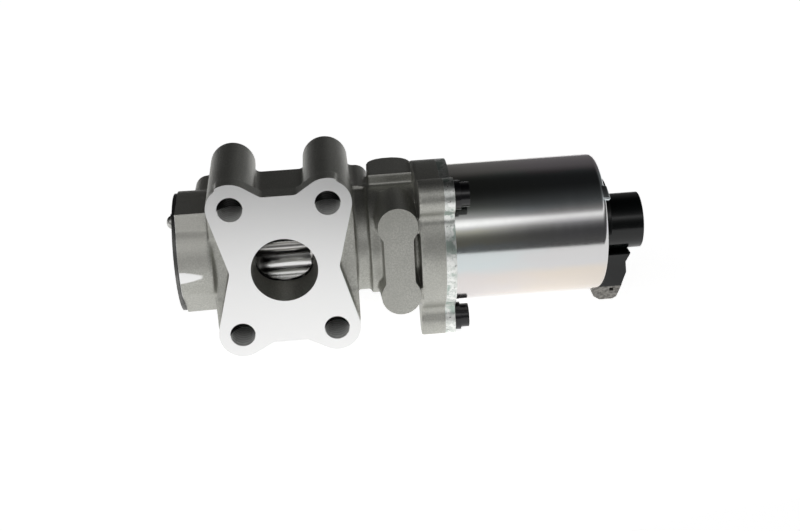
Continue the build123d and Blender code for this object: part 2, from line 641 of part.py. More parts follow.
with BuildPart() as adapter_screws:
    with BuildSketch(across(SCREW_TIP_X)):
        with Locations(*SCREW_SPOTS):
            Circle(SCREW_R)
    extrude(amount=PLATE_FACE_X - SCREW_TIP_X)
    with BuildSketch(across(PLATE_FACE_X)):
        with Locations(*SCREW_SPOTS):
            Circle(SCREW_COLLAR_R)
    extrude(amount=SCREW_COLLAR_T)
    with BuildSketch(across(PLATE_FACE_X + SCREW_COLLAR_T)):
        with Locations(*SCREW_SPOTS):
            Circle(SCREW_HEAD_R)
    extrude(amount=SCREW_HEAD_T)
    with BuildSketch(across(PLATE_FACE_X + SCREW_COLLAR_T + SCREW_HEAD_T)):
        with Locations(*SCREW_SPOTS):
            RegularPolygon(radius=HEX_FLATS / 2, side_count=6, major_radius=False)
    extrude(amount=-SCREW_HEAD_T, mode=Mode.SUBTRACT)
save(adapter_screws, "adapter_screws")

# ---------------------------------------------------------------- motor shell and housings

with BuildPart() as motor_can:
    turn(
        (PLATE_FACE_X, CAN_R - CAN_WALL),
        (CAN_END_X - CAN_WALL, CAN_R - CAN_WALL),
        (CAN_END_X - CAN_WALL, CAN_WINDOW_R),
        (CAN_END_X, CAN_WINDOW_R),
        (CAN_END_X, CAN_R),
        (PLATE_FACE_X, CAN_R),
    )
    rims = motor_can.edges().filter_by(GeomType.CIRCLE).filter_by(lambda e: abs(e.radius - CAN_R) < 0.01)
    fillet(rims.sort_by(Axis.X)[-1], CAN_CORNER_R)
save(motor_can, "motor_can")


def double_d(radius, flats, gap=0.0):
    """Round outline with two flats, opened by a gap all round."""
    Circle(radius + gap)
    Rectangle(2 * (radius + gap), flats + 2 * gap, mode=Mode.INTERSECT)


with BuildPart() as front_housing:
    disc(PLATE_FACE_X, PLATE_FACE_X + FRONT_HOUSING_T, INNER_R)
    disc(PLATE_FACE_X, FRONT_HUB_X, FRONT_HUB_R)
    disc(FRONT_BEARING_X - WASHER_T, FRONT_HUB_X, BEARING_OUT_R, mode=Mode.SUBTRACT)
    with BuildSketch(across(PLATE_FACE_X)):
        double_d(SCREW_THREAD_R, FLATS, RUNNING)
    extrude(amount=FRONT_HUB_X - PLATE_FACE_X, mode=Mode.SUBTRACT)
save(front_housing, "front_housing")

with BuildPart() as rear_housing:
    disc(REAR_HOUSING_X, CAN_END_X - CAN_WALL, INNER_R)
    disc(REAR_BEARING_X, REAR_BEARING_X + BEARING_T, BEARING_OUT_R, mode=Mode.SUBTRACT)
    disc(BOARD_X, CAN_END_X - CAN_WALL, CAP_FLANGE_R, mode=Mode.SUBTRACT)
    ring(HOUSING_GROOVE_X, HOUSING_GROOVE_X + HOUSING_GROOVE_W, HOUSING_GROOVE_R, INNER_R, mode=Mode.SUBTRACT)
save(rear_housing, "rear_housing")

with BuildPart() as housing_o_ring:
    with BuildSketch(TURNING_PLANE):
        with Locations((HOUSING_GROOVE_X + HOUSING_GROOVE_W / 2, HOUSING_GROOVE_R + O_RING_R)):
            Circle(O_RING_R)
    revolve(axis=MOTOR_AXIS)
save(housing_o_ring, "housing_o_ring")

# ---------------------------------------------------------------- rotor, lead screw and bearings

with BuildPart() as lead_screw:
    with BuildSketch(across(STEM_RIGHT_X)):
        double_d(SCREW_THREAD_R, FLATS)
    extrude(amount=FRONT_HUB_X - STEM_RIGHT_X)
    disc(FRONT_HUB_X, LEAD_SCREW_END_X, SCREW_THREAD_R)
save(lead_screw, "lead_screw")

with BuildPart() as rotor_hub:
    turn(
        (FRONT_BEARING_X, SCREW_THREAD_R + RUNNING),
        (LEAD_SCREW_END_X + HUB_BORE_GAP, SCREW_THREAD_R + RUNNING),
        (LEAD_SCREW_END_X + HUB_BORE_GAP, 0),
        (REAR_BEARING_X + BEARING_T - TIP_GAP, 0),
        (REAR_BEARING_X + BEARING_T - TIP_GAP, BEARING_IN_R),
        (REAR_BEARING_X, BEARING_IN_R),
        (REAR_BEARING_X, HUB_SHOULDER_R),
        (MAGNET_RIGHT_X, HUB_SHOULDER_R),
        (MAGNET_RIGHT_X, HUB_R),
        (MAGNET_LEFT_X, HUB_R),
        (MAGNET_LEFT_X, HUB_SHOULDER_R),
        (FRONT_BEARING_X + BEARING_T, HUB_SHOULDER_R),
        (FRONT_BEARING_X + BEARING_T, BEARING_IN_R),
        (FRONT_BEARING_X, BEARING_IN_R),
    )
save(rotor_hub, "rotor_hub")

with BuildPart() as rotor_magnet:
    ring(MAGNET_LEFT_X, MAGNET_RIGHT_X, HUB_R, MAGNET_R)
save(rotor_magnet, "rotor_magnet")


def raceway(left):
    """Groove that the balls run in, cut into a bearing ring that starts at left."""
    with BuildSketch(TURNING_PLANE) as groove:
        with Locations((left + BEARING_T / 2, BEARING_PITCH_R)):
            Circle(BALL_R + RUNNING)
    revolve(groove.sketch, axis=MOTOR_AXIS, mode=Mode.SUBTRACT)


for place, left in (("front", FRONT_BEARING_X), ("rear", REAR_BEARING_X)):
    with BuildPart() as outer_ring:
        ring(left, left + BEARING_T, BEARING_PITCH_R + RING_GAP, BEARING_OUT_R)
        raceway(left)
    save(outer_ring, f"{place}_bearing_outer")

    with BuildPart() as inner_ring:
        ring(left, left + BEARING_T, BEARING_IN_R, BEARING_PITCH_R - RING_GAP)
        raceway(left)
    save(inner_ring, f"{place}_bearing_inner")

    ball_spots = polar_spots(BEARING_PITCH_R, [360 * n / BALLS for n in range(BALLS)])
    with BuildPart() as ball_set:
        with Locations(*[(left + BEARING_T / 2, AXIS_Y + y, z) for y, z in ball_spots]):
            Sphere(BALL_R)
    save(ball_set, f"{place}_bearing_balls")

with BuildPart() as wave_washer:
    ring(FRONT_BEARING_X - WASHER_T, FRONT_BEARING_X, BEARING_PITCH_R + RING_GAP, BEARING_OUT_R)
save(wave_washer, "wave_washer")

# ---------------------------------------------------------------- stators

for place, left in zip(("front", "rear"), STATOR_X):
    right = left + STATOR_LENGTH
    with BuildPart() as pole_cup:
        turn(
            (left, POLE_R),
            (left, INNER_R),
            (right, INNER_R),
            (right, POLE_R),
            (right - STATOR_WALL, POLE_R),
            (right - STATOR_WALL, INNER_R - STATOR_WALL),
            (left + STATOR_WALL, INNER_R - STATOR_WALL),
            (left + STATOR_WALL, POLE_R),
        )
        with BuildSketch(across(left)):
            with PolarLocations(POLE_R + POLE_T / 2, POLES // 2):
                Rectangle(POLE_T, POLE_W)
        extrude(amount=STATOR_LENGTH - 2 * STATOR_WALL)
        with BuildSketch(across(right)):
            with PolarLocations(POLE_R + POLE_T / 2, POLES // 2, start_angle=360 / POLES):
                Rectangle(POLE_T, POLE_W)
        extrude(amount=-(STATOR_LENGTH - 2 * STATOR_WALL))
    save(pole_cup, f"{place}_pole_cup")

    coil_left, coil_right = left + STATOR_WALL, right - STATOR_WALL
    with BuildPart() as bobbin:
        turn(
            (coil_left, BOBBIN_R),
            (coil_right, BOBBIN_R),
            (coil_right, COIL_R),
            (coil_right - BOBBIN_WALL, COIL_R),
            (coil_right - BOBBIN_WALL, BOBBIN_R + BOBBIN_WALL),
            (coil_left + BOBBIN_WALL, BOBBIN_R + BOBBIN_WALL),
            (coil_left + BOBBIN_WALL, COIL_R),
            (coil_left, COIL_R),
        )
    save(bobbin, f"{place}_bobbin")

    with BuildPart() as winding:
        ring(coil_left + BOBBIN_WALL, coil_right - BOBBIN_WALL, BOBBIN_R + BOBBIN_WALL, COIL_R)
    save(winding, f"{place}_winding")

# ---------------------------------------------------------------- terminals and connector

PIN_SPOTS = polar_spots(PIN_CIRCLE_R, [360 * n / PINS for n in range(PINS)])


def pin_circles(radius, mode=Mode.ADD):
    with Locations(*PIN_SPOTS):
        Circle(radius, mode=mode)


with BuildPart() as terminal_board:
    disc(BOARD_X, BOARD_X + BOARD_T, BOARD_R)
    with BuildSketch(across(BOARD_X, SHROUD_Z)):
        pin_circles(PIN_R)
    extrude(amount=BOARD_T, mode=Mode.SUBTRACT)
save(terminal_board, "terminal_board")

with BuildPart() as terminals:
    with BuildSketch(across(BOARD_X, SHROUD_Z)):
        pin_circles(PIN_R)
    extrude(amount=PIN_TIP_X - BOARD_X)
    chamfer(terminals.faces().group_by(Axis.X)[-1].edges(), PIN_CHAMFER)
save(terminals, "terminals")

with BuildPart() as connector_cap:
    disc(BOARD_X + BOARD_T, CAP_FACE_X, CAP_FLANGE_R)
    with BuildSketch(across(CAP_FACE_X, SHROUD_Z)):
        Circle(SHROUD_R)
    extrude(amount=SHROUD_END_X - CAP_FACE_X)
    # Lower wing: its side outline, then the hollow that fits round the can
    with BuildSketch(facing(AXIS_Y)):
        with BuildLine():
            Polyline(*WING_OUTLINE, close=True)
        make_face()
    extrude(amount=WING_HALF_W, both=True)
    # The wing narrows below the socket and again towards its foot, where it has a small square hole
    with BuildSketch(across(CAN_END_X - WING_LIP)):
        with BuildLine():
            Polyline(*WING_FLANK, close=True)
        flank = make_face()
        mirror(flank, about=Plane.YZ)
    extrude(amount=SHROUD_END_X - CAN_END_X, mode=Mode.SUBTRACT)
    with BuildSketch(facing(AXIS_Y - WING_HALF_W)):
        with Locations((LATCH_HOLE_X, LATCH_HOLE_Z)):
            Rectangle(LATCH_HOLE, LATCH_HOLE)
    extrude(amount=-LATCH_HOLE_DEPTH, mode=Mode.SUBTRACT)
    disc(CAN_END_X - WING_LIP, CAN_END_X, CAN_R + WING_GAP, mode=Mode.SUBTRACT)
    disc(BOARD_X + BOARD_T, CAN_END_X, CAP_FLANGE_R)
    # Socket, its keys, and the holes that the terminals come through
    with BuildSketch(across(SOCKET_FLOOR_X, SHROUD_Z)):
        Circle(SHROUD_R - SHROUD_WALL)
        for angle in KEY_ANGLES:
            with Locations(Rotation(0, 0, angle)):
                with Locations((SHROUD_R - SHROUD_WALL, 0)):
                    Rectangle(2 * KEY_HEIGHT, KEY_WIDTH, mode=Mode.SUBTRACT)
    extrude(amount=SHROUD_END_X - SOCKET_FLOOR_X, mode=Mode.SUBTRACT)
    with BuildSketch(across(BOARD_X + BOARD_T, SHROUD_Z)):
        pin_circles(PIN_R)
    extrude(amount=SOCKET_FLOOR_X - BOARD_X - BOARD_T, mode=Mode.SUBTRACT)
save(connector_cap, "connector_cap")
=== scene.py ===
# %% [markdown]
# # EGR valve
# An exhaust gas recirculation valve lets a measured share of exhaust gas back into the engine's intake. A
# stepper motor in a drawn steel can pushes a stem with two poppets through a cast aluminium body. The solids
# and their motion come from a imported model. This lesson dresses them: it shapes some of the visible pieces
# again with soft, believable edges, and gives every piece a finish made of shader nodes. Lengths are written
# in millimetres and turned into Blender's metres where a mesh or a node needs them.

# %% Load the solids
import json
import math

import bmesh
import bpy
from mathutils import Matrix, Vector


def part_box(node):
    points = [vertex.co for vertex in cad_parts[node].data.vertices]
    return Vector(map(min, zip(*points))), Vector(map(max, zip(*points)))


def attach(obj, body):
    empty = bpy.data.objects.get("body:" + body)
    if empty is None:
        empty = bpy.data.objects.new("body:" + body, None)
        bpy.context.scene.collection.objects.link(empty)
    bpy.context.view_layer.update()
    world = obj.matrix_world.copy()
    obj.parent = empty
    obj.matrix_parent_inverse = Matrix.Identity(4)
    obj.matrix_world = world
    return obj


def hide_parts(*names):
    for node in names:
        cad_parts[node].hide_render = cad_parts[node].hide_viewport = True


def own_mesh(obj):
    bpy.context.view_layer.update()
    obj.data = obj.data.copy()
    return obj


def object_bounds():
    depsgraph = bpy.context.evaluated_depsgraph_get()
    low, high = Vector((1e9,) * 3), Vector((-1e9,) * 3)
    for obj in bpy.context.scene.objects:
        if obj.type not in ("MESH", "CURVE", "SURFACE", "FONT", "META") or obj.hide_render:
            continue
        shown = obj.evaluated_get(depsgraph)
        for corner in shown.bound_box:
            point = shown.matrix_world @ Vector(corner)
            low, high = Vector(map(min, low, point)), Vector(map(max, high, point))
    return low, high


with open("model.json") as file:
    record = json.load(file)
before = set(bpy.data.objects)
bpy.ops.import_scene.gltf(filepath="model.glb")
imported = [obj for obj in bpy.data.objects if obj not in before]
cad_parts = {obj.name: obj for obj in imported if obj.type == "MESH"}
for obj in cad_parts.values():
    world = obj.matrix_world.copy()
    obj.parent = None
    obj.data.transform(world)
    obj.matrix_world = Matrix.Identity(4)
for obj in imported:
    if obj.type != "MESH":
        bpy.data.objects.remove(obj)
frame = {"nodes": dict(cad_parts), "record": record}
bpy.context.view_layer.update()
cad_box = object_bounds()
print("solids:", len(frame["nodes"]), "box:", [tuple(round(c, 4) for c in corner) for corner in cad_box])

# %% [markdown]
# ## Measures
# A handful of dimensions place everything else. The valve's axis runs along X, a little behind the machined
# front face, which is the plane Y = 0. Writing them down once keeps the pieces in step with each other.

# %% Measures
MM = 0.001
AXIS_Y = 25.5
REAR_Y = 51.0                   # rear mounting face
PAD_FACE_Y = -1.0               # front of the pad on the neck
BODY_LEFT_X, BODY_RIGHT_X = -38.0, 58.5
DRUM_RIGHT_X = -26.3
WEB_X = 26.3                    # outer side of the webs behind the flange's waist
FLAT_R, FLAT_TILT = 22.69, 3.5  # the milled flat on the drum: how far from the axis, and its tilt in degrees
PLATE_X = 62.2                  # where the can begins
CAN_R, CAN_END_X = 25.75, 118.5
BOLT_X, BOLT_Z, BOLT_HOLE_R = 17.3, 24.4, 4.5
CHAMBER_R = 15.5
SHROUD_Z = -0.6                 # height of the middle of the connector's round socket
print("can length:", round(CAN_END_X - PLATE_X, 1), "mm")

# %% [markdown]
# ## Camera
# A camera needs a place, a direction and a lens. Its matrix is built from three unit vectors: right, up and
# backwards. That says exactly how it stands, including the slight roll that a hand-levelled tripod head has.

# %% Camera
SENSOR_MM = 36.0
FRAME_PX = 800
FOCAL_PX = 1270.7
CAMERA_SPOT = (17.984, -422.630, 177.948)

view_right = Vector((0.99577, -0.07700, -0.05019))
view_up = Vector((0.07620, 0.38620, 0.91926))
view_forward = Vector((0.05140, 0.91919, -0.39043))
camera_data = bpy.data.cameras.new("studio_camera")
camera_data.sensor_width = SENSOR_MM
camera_data.lens = FOCAL_PX / FRAME_PX * SENSOR_MM
camera = bpy.data.objects.new("studio_camera", camera_data)
turn = Matrix((view_right, view_up, -view_forward)).transposed().to_4x4()
camera.matrix_world = Matrix.Translation(Vector(CAMERA_SPOT) * MM) @ turn
bpy.context.scene.collection.objects.link(camera)
bpy.context.scene.camera = camera
print("lens:", round(camera_data.lens, 2), "mm")

# %% [markdown]
# ## Shader maths
# A finish is a small web of nodes. Wiring it by hand takes many lines, so one class wraps a node's output and
# lets Python's own signs add the Math nodes: `1 - mask * 0.5` reads as it works.

# %% Shader maths
class Wire:
    """One output of a shader node, with arithmetic drawn as Math nodes."""

    def __init__(self, web, socket):
        self.web = web
        self.socket = socket

    def work_out(self, operation, *values):
        return self.web.node("ShaderNodeMath", {"operation": operation}, *values)

    def __add__(self, other):
        return self.work_out("ADD", self, other)

    def __sub__(self, other):
        return self.work_out("SUBTRACT", self, other)

    def __rsub__(self, other):
        return self.work_out("SUBTRACT", other, self)

    def __mul__(self, other):
        return self.work_out("MULTIPLY", self, other)

    def __pow__(self, other):
        return self.work_out("POWER", self, other)

    def __abs__(self):
        return self.work_out("ABSOLUTE", self)

    __radd__ = __add__
    __rmul__ = __mul__

    def highest(self, other):
        return self.work_out("MAXIMUM", self, other)

    def sign(self):
        """-1 below zero and 1 above it."""
        return self.work_out("SIGN", self)

    def wave(self, length_mm):
        """Sine from -1 to 1 that repeats every length_mm of this coordinate."""
        return self.work_out("SINE", self * (2 * math.pi / length_mm))

    def reach(self, low, high):
        """0 at low, 1 at high, and a straight line between."""
        return self.web.node("ShaderNodeMapRange", {}, self, low, high, 0.0, 1.0)

    def rise(self, low, high):
        """0 below low, 1 above high, and a smooth step between; low above high gives a fall."""
        settings = {"interpolation_type": "SMOOTHSTEP"}
        return self.web.node("ShaderNodeMapRange", settings, self, low, high, 0.0, 1.0)

    def spread(self, low, high):
        """Take this 0 to 1 value to the range low to high."""
        return self * (high - low) + low


print("wires ready")

# %% [markdown]
# ## Webs of nodes
# Materials and the world both hold a tree of nodes. One method, `node`, adds any of them: it sets a node's
# choices first and its sockets after, in order, by number or by name. A Mix node's sockets share their names,
# so the colour ones are reached by number.

# %% Webs of nodes
MIX_OFF, MIX_ON, MIX_COLOR = 6, 7, 2


class Web:
    """The node tree of a material or of the world."""

    def __init__(self, owner):
        owner.use_nodes = True
        self.tree = owner.node_tree

    def plug(self, socket, value):
        """Link a wire to a socket, or set the socket to a number, a vector or a colour."""
        if isinstance(value, Wire):
            self.tree.links.new(value.socket, socket)
        elif socket.type == "RGBA":
            socket.default_value = (*value, 1.0)
        else:
            socket.default_value = value

    def node(self, kind, settings, *values, output=0, at=None, **named):
        """Add a node and return one of its outputs as a wire."""
        made = self.tree.nodes.new(kind)
        for name, value in settings.items():
            if name == "stops":
                self.set_stops(made.color_ramp.elements, value)
            else:
                setattr(made, name, value)
        for socket, value in zip(made.inputs, values):
            self.plug(socket, value)
        for key, value in {**(at or {}), **named}.items():
            self.plug(made.inputs[key], value)
        return Wire(self, made.outputs[output]) if made.outputs else None

    def set_stops(self, elements, stops):
        """Give a colour ramp, which starts with two stops, these pairs of a position and a grey."""
        for index, (position, level) in enumerate(stops):
            stop = elements[index] if index < 2 else elements.new(1.0)
            stop.position = position
            stop.color = (level, level, level, 1.0)

    def parts(self, vector):
        """The X, Y and Z of a vector, each as a wire."""
        split = self.node("ShaderNodeSeparateXYZ", {}, vector)
        return [Wire(self, socket) for socket in split.socket.node.outputs]

    def blend(self, mask, off, on):
        """Colour off where mask is 0 and colour on where it is 1."""
        sockets = {MIX_OFF: off, MIX_ON: on}
        return self.node("ShaderNodeMix", {"data_type": "RGBA"}, mask, output=MIX_COLOR, at=sockets)


print("webs ready")

# %% [markdown]
# ## Finishes
# A finish is a web with a Principled shader in it. What is the same all over a piece is set on the shader,
# and only what varies is wired to it. All patterns start from the object coordinates, so they stay on the
# metal when a piece moves.

# %% Finishes
class Finish(Web):
    """A material under construction: constants go on the shader, and wires feed what varies."""

    def __init__(self, name, **constants):
        self.material = bpy.data.materials.new(name)
        super().__init__(self.material)
        self.shader = self.tree.nodes["Principled BSDF"]
        for socket, value in constants.items():
            self.feed(socket.replace("_", " "), value)
        self.place = self.node("ShaderNodeTexCoord", {}, output="Object")

    def feed(self, socket, value):
        self.plug(self.shader.inputs[socket], value)

    def axes(self):
        """The three object coordinates, each as a wire in millimetres."""
        return [part * (1.0 / MM) for part in self.parts(self.place)]

    def noise(self, size_mm, detail=2.0, stretch=(1.0, 1.0, 1.0), roughness=0.5):
        """Cloudy 0 to 1 value with blots about size_mm across, longer where stretch is above 1."""
        grid = tuple(1.0 / s for s in stretch)
        spot = self.node("ShaderNodeVectorMath", {"operation": "MULTIPLY"}, self.place, grid)
        sockets = {"Vector": spot, "Scale": 1.0 / MM / size_mm, "Detail": detail, "Roughness": roughness}
        return self.node("ShaderNodeTexNoise", {}, at=sockets)

    def bump(self, height, depth_mm, strength=1.0):
        """Raise the surface by height times depth, for light only."""
        sockets = {"Height": height, "Distance": depth_mm * MM, "Strength": strength}
        self.feed("Normal", self.node("ShaderNodeBump", {}, at=sockets))

    def soften(self, radius_mm):
        """Round the shading of sharp edges, as handling and plating do."""
        self.feed("Normal", self.node("ShaderNodeBevel", {"samples": 4}, Radius=radius_mm * MM))


print("finishes ready")

# %% [markdown]
# ## Light
# Bright metal shows its surroundings, so the surroundings are what is designed here. The sky is painted by
# elevation, for the front and for behind, each with a left and a right half that blend. A soft band at 32
# degrees in front acts as the studio's big softbox and narrows to the right. The room overhead is nearly
# black, which is why the tops of the can and of the casting turn dark. A camera ray that misses everything
# sees plain white.

# %% Sky
FRONT_LEFT = (                  # each pair is an elevation in degrees and the brightness there
    (-90, 0.12), (-2, 0.13), (4, 0.135), (10, 0.19), (13.3, 0.30), (16.4, 0.46), (19.5, 0.60), (22.6, 0.84),
    (25.8, 1.10), (29, 1.30), (32, 1.32), (35, 1.10), (38, 0.72), (42, 0.50), (48, 0.32), (54, 0.15),
    (60, 0.08), (72, 0.03), (90, 0.015),
)
FRONT_RIGHT = (
    (-90, 0.09), (-7, 0.09), (2.4, 0.070), (8.6, 0.066), (15, 0.105), (21, 0.25), (27.3, 0.80), (31, 1.25),
    (34, 1.15), (36.7, 0.50), (40, 0.28), (43, 0.20), (49, 0.12), (55, 0.07), (62, 0.045), (72, 0.03),
    (90, 0.015),
)
BACK_LEFT = ((-90, 0.10), (0, 0.09), (10, 0.045), (22, 0.022), (42, 0.015), (60, 0.010), (90, 0.010))
BACK_RIGHT = (
    (-90, 0.10), (0, 0.20), (10, 0.15), (22, 0.135), (42, 0.105), (50, 0.07), (58, 0.028), (66, 0.015),
    (90, 0.012),
)
SKY_STRENGTH = 2.0              # a ramp's colours end at 1, so they are halved and the shader doubles them

world = bpy.data.worlds.new("dark_room")
bpy.context.scene.world = world
sky = Web(world)
sky.tree.nodes.clear()
across, depth, up = sky.parts(sky.node("ShaderNodeTexCoord", {}, output="Generated"))


def painted(levels):
    """Grey of one sky, which changes with the sine of the elevation."""
    stops = []
    for elevation, level in levels:
        stops.append(((math.sin(math.radians(elevation)) + 1) / 2, level / SKY_STRENGTH))
    return sky.node("ShaderNodeValToRGB", {"stops": stops}, up.reach(-1.0, 1.0))


front_sky = sky.blend(across.reach(0.12, 0.20), painted(FRONT_LEFT), painted(FRONT_RIGHT))
back_sky = sky.blend(across.reach(0.03, 0.10), painted(BACK_LEFT), painted(BACK_RIGHT))
whole_sky = sky.blend(depth.reach(0.0, -0.35), back_sky, front_sky)
room = sky.node("ShaderNodeBackground", {}, whole_sky, SKY_STRENGTH)
paper = sky.node("ShaderNodeBackground", {}, (1.0, 1.0, 1.0), 1.0)
seen = sky.node("ShaderNodeLightPath", {}, output="Is Camera Ray")
sky.node("ShaderNodeOutputWorld", {}, sky.node("ShaderNodeMixShader", {}, seen, room, paper))
bpy.context.scene.view_settings.view_transform = "Standard"
print("sky stops:", len(FRONT_LEFT), len(FRONT_RIGHT), len(BACK_LEFT), len(BACK_RIGHT))

# %% [markdown]
# ## Lamp
# One weak, wide softbox stands above the camera and a little to its left. It lifts the front faces and gives
# the table a soft shadow to catch. An area lamp is chosen because a small lamp would leave hard spots on the
# can.

# %% Lamp
LAMP_SIZE = (0.9, 0.25)         # metres
LAMP_WATTS = 0.25
LAMP_DISTANCE = 1.1             # metres
LAMP_ELEVATION = math.radians(35)
LAMP_LEFT = 0.17

lamp = bpy.data.lights.new("fill_softbox", "AREA")
lamp.shape = "RECTANGLE"
lamp.size, lamp.size_y = LAMP_SIZE
lamp.energy = LAMP_WATTS
holder = bpy.data.objects.new("fill_softbox", lamp)
middle = (cad_box[0] + cad_box[1]) / 2
away = Vector((-LAMP_LEFT, -math.cos(LAMP_ELEVATION), math.sin(LAMP_ELEVATION))).normalized()
facing = away.to_track_quat("Z", "Y").to_matrix().to_4x4()
holder.matrix_world = Matrix.Translation(middle + away * LAMP_DISTANCE) @ facing
bpy.context.scene.collection.objects.link(holder)
print("lamp:", lamp.energy, "W")

# %% [markdown]
# ## Table
# The table is white paper lit from all sides, so it mostly glows. A little plain diffuse reflection is left
# in it to carry the valve's soft shadow, and it lights every lower and front side of the casting. It ends a
# hand's width in front, where the camera doesn't look but the can's mirror does, and its front edge runs
# closer to the can than to the casting.

# %% Table
TABLE_LEFT_X, TABLE_RIGHT_X, TABLE_BACK_Y = -4000, 4200, 4100
FRONT_EDGE = ((TABLE_LEFT_X, -170), (0, -170), (82, -125), (136, -113), (TABLE_RIGHT_X, -113))
PAPER_TONE, PAPER_GLOW = 0.75, 0.88

table_mesh = bpy.data.meshes.new("table")
sheet = bmesh.new()
rim = (*FRONT_EDGE, (TABLE_RIGHT_X, TABLE_BACK_Y), (TABLE_LEFT_X, TABLE_BACK_Y))
sheet.faces.new([sheet.verts.new((x * MM, y * MM, cad_box[0].z)) for x, y in rim])
sheet.to_mesh(table_mesh)
sheet.free()
table = bpy.data.objects.new("table", table_mesh)
bpy.context.scene.collection.objects.link(table)

white = bpy.data.materials.new("white_paper")
fibre = Web(white)
fibre.tree.nodes.clear()
faint = fibre.node("ShaderNodeBsdfDiffuse", {}, Color=(PAPER_TONE, PAPER_TONE, PAPER_TONE))
glow = fibre.node("ShaderNodeEmission", {}, Strength=PAPER_GLOW)
fibre.node("ShaderNodeOutputMaterial", {}, fibre.node("ShaderNodeAddShader", {}, faint, glow))
table.data.materials.append(white)
print("table at", round(cad_box[0].z / MM, 1), "mm")

# %% [markdown]
# ## Where the casting is machined
# A casting is blasted dull and grainy, then a few faces are milled and a few holes bored. One finish covers
# both. These masks pick out the machined places from the object coordinates alone: each is 1 within about a
# tenth of a millimetre of the plane or the bore that the cutter left, and 0 elsewhere.

# %% Where the casting is machined
EDGE, SKIN = 0.12, 0.04         # how far from a milled plane its mask begins, and where it is full

cast = Finish("cast_aluminium")
x, y, z = cast.axes()
front_face = x.rise(29.5, 28.5) * y.rise(EDGE, SKIN)
rear_face = y.rise(REAR_Y - EDGE, REAR_Y - SKIN)
left_end = x.rise(BODY_LEFT_X + EDGE, BODY_LEFT_X + SKIN)
right_end = x.rise(BODY_RIGHT_X - EDGE, BODY_RIGHT_X - SKIN)
tilt = math.radians(FLAT_TILT)
from_flat = (AXIS_Y - y) * math.cos(tilt) - z * math.sin(tilt)
drum_flat = x.rise(-28.0, -29.0) * from_flat.rise(FLAT_R - 0.05, FLAT_R - 0.01)
milled = front_face.highest(rear_face).highest(left_end).highest(right_end).highest(drum_flat)

from_axis = ((y - AXIS_Y) ** 2.0 + z ** 2.0) ** 0.5
bored = from_axis.rise(CHAMBER_R + 0.25, CHAMBER_R + 0.1)
from_bolt_squared = (abs(x) - BOLT_X) ** 2.0 + (abs(z) - BOLT_Z) ** 2.0
drilled = from_bolt_squared.rise(22.0, 21.0)
machined = milled.highest(bored).highest(drilled)
print("masks:", len(cast.tree.nodes), "nodes")

# %% [markdown]
# ## Cast and machined aluminium
# The cast skin is a warm grey with blotches and a fine grain, and the upper part of the drum is painted
# paler, as painted light. The milled faces are pale and smooth with faint cutter lines. The bolt holes show
# the drill's rings near their mouth, and further in a painted shadow turns them dark.

# %% Cast and machined aluminium
RING_MM = 1.9                   # distance between the drill's rings

blotch = cast.noise(14.0, detail=3.0).rise(0.3, 0.7)
grain = cast.noise(0.55, detail=3.0, roughness=0.6)
cutter_lines = cast.noise(0.35, detail=1.0, stretch=(14.0, 1.0, 1.0))
# Painted light: the upper part of the drum is made paler, as if more light fell on it.
painted_light_on_drum = x.rise(-26.5, -28.0) * z.rise(-4.0, 9.0) * 0.45
skin = cast.blend(blotch, (0.455, 0.455, 0.42), (0.515, 0.515, 0.48))
skin = cast.blend(grain.rise(0.62, 0.40), skin, (0.40, 0.40, 0.37))
# The painted light on the drum blends the skin towards this pale tone.
skin = cast.blend(painted_light_on_drum, skin, (0.74, 0.73, 0.68))

rings = y.wave(RING_MM)
below_middle = z - z.sign() * BOLT_Z
# Painted shadow: behind a slanted line from each hole's mouth, the wall is painted dark where the front light
# doesn't reach.
painted_hole_shadow = (y + below_middle * 3.7).rise(-0.6, 0.9)
hole = cast.blend(rings.spread(0.5, 1.0), (0.70, 0.71, 0.68), (0.97, 0.97, 0.96))
# The painted shadow's dark grey.
hole = cast.blend(painted_hole_shadow, hole, (0.06, 0.06, 0.06))
bright = cast.blend(drilled, (0.87, 0.87, 0.865), hole)

cast.feed("Base Color", cast.blend(machined, skin, bright))
cast.feed("Metallic", machined.spread(0.92, 1.0) - drilled * 0.95)
cast.feed("Roughness", machined * (bored.spread(0.36, 0.10) - 0.48) + 0.48)
cast.bump((1.0 - machined) * grain + machined * cutter_lines * 0.12 + drilled * rings * 2.0, 0.06, 0.7)
print("cast aluminium:", len(cast.tree.nodes), "nodes")

# %% [markdown]
# ## Drawn can
# The can is bright and even, with the faint yellow, violet and green bands of its chromate film, which drift
# as they run from the plate to the closed end. Each band is blended over the ones below it, and a slow noise
# bends their edges.

# %% Can steel
FILM = (        # height in mm where a band begins and is full, then its tint near the plate and at the end
    (-30.0, -29.0, (0.645, 0.615, 0.605), (0.670, 0.615, 0.555)),
    (-10.0, -4.5, (0.590, 0.635, 0.640), (0.610, 0.605, 0.605)),
    (2.5, 5.0, (0.605, 0.605, 0.520), (0.600, 0.595, 0.615)),
    (9.0, 11.0, (0.600, 0.605, 0.595), (0.605, 0.600, 0.600)),
    (13.5, 16.5, (0.575, 0.615, 0.570), (0.565, 0.610, 0.630)),
    (23.4, 24.6, (0.625, 0.605, 0.570), (0.645, 0.590, 0.620)),
)

